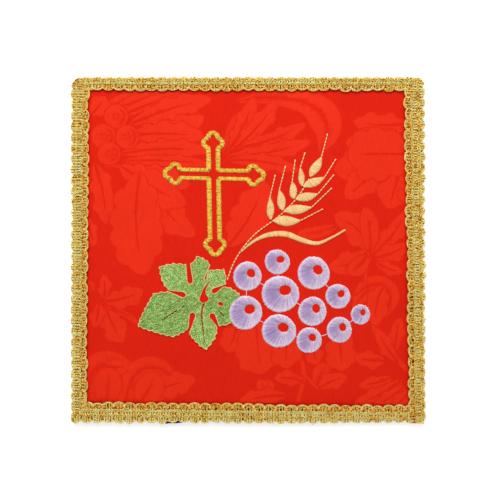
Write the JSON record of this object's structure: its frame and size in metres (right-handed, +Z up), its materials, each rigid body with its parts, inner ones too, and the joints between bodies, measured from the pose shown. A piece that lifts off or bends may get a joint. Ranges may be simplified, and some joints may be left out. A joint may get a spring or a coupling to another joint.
{
  "type": "chalice pall",
  "caption": "Small stiff square altar cloth in red damask with gold scalloped braid, purple backing and an embroidered cross, wheat, vine leaf and grapes.",
  "frame": {"origin": "middle of the underside, on the surface that the cloth lies on", "axes": "+X along the longer side, to the right of the cross; +Y towards the head of the cross; +Z up out of the embroidered face"},
  "size_m": [0.1713, 0.1676, 0.0053],
  "materials": {
    "red_damask": "red damask, tone on tone, low sheen",
    "purple_backing": "dark purple plain weave, soft sheen",
    "gold_braid": "metallic gold thread and yellow silk, crocheted",
    "yellow_thread": "yellow-gold satin stitch, glossy",
    "straw_thread": "pale straw satin stitch, glossy",
    "green_thread": "green fill stitch, glossy",
    "lilac_thread": "lilac satin stitch, glossy"
  },
  "bodies": {
    "root": {"backing_cloth": "purple_backing", "damask_face": "red_damask", "braid_top": "gold_braid", "braid_right": "gold_braid", "braid_bottom": "gold_braid", "braid_left": "gold_braid", "cross": "yellow_thread", "vine_leaf": "green_thread", "grape_1": "lilac_thread", "grape_2": "lilac_thread", "grape_3": "lilac_thread", "grape_4": "lilac_thread", "grape_5": "lilac_thread", "grape_6": "lilac_thread", "grape_7": "lilac_thread", "grape_8": "lilac_thread", "grape_9": "lilac_thread", "grape_10": "lilac_thread", "grape_11": "lilac_thread", "wheat_grain_1": "straw_thread", "wheat_grain_2": "straw_thread", "wheat_grain_3": "straw_thread", "wheat_grain_4": "straw_thread", "wheat_grain_5": "straw_thread", "wheat_grain_6": "straw_thread", "wheat_grain_7": "straw_thread", "wheat_grain_8": "straw_thread", "wheat_grain_9": "straw_thread", "wheat_stalk": "straw_thread", "wheat_blade": "straw_thread"}
  },
  "joints": []
}
